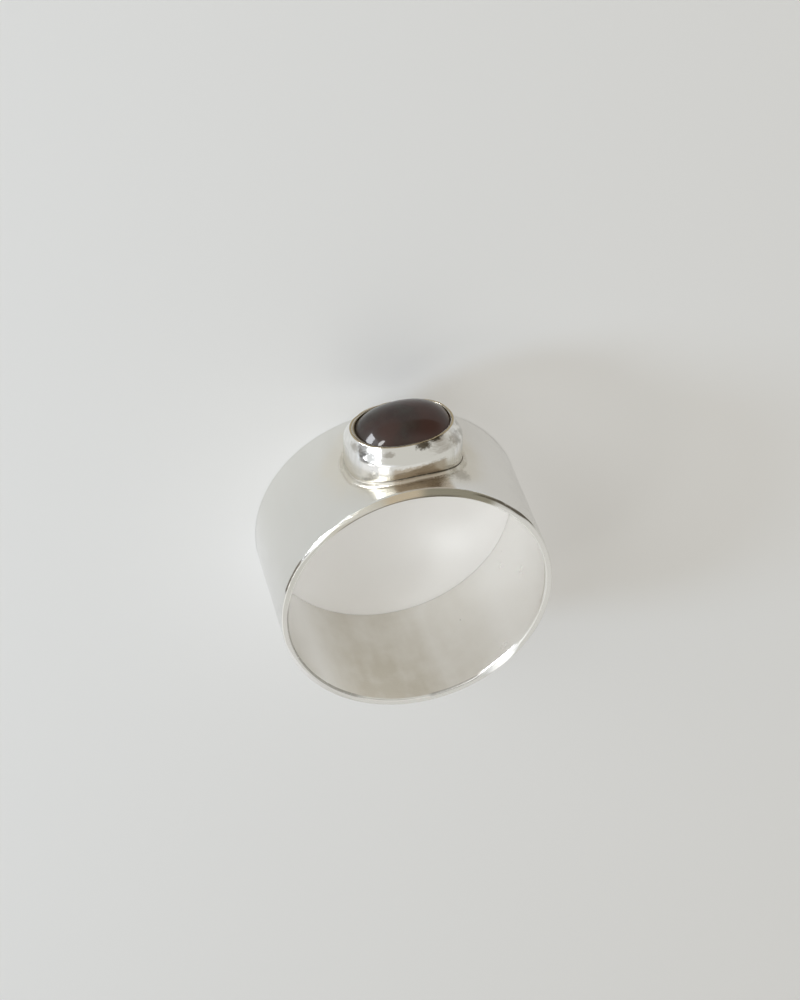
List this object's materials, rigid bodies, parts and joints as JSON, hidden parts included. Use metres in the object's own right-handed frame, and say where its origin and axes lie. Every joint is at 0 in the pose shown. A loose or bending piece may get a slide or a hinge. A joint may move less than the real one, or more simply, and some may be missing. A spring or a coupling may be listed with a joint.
{
  "type": "garnet cabochon ring",
  "caption": "Wide plain silver finger band with an oval garnet cabochon in a smooth burnished bezel cup, lying on its side.",
  "frame": {"origin": "centre of the finger hole, in the plane of the rim that the ring rests on", "axes": "+Z along the axis of the finger hole, up from the resting rim; -Y out of the band towards the stone; +X round the band, along the length of the setting"},
  "size_m": [0.02, 0.0238, 0.0097],
  "materials": {
    "silver": "polished sterling silver, softly worn, with hairline scratches and a little tarnish in the seams",
    "garnet": "very dark brown-red garnet, polished"
  },
  "bodies": {
    "root": {"silver_ring": "silver", "garnet": "garnet"}
  },
  "joints": []
}
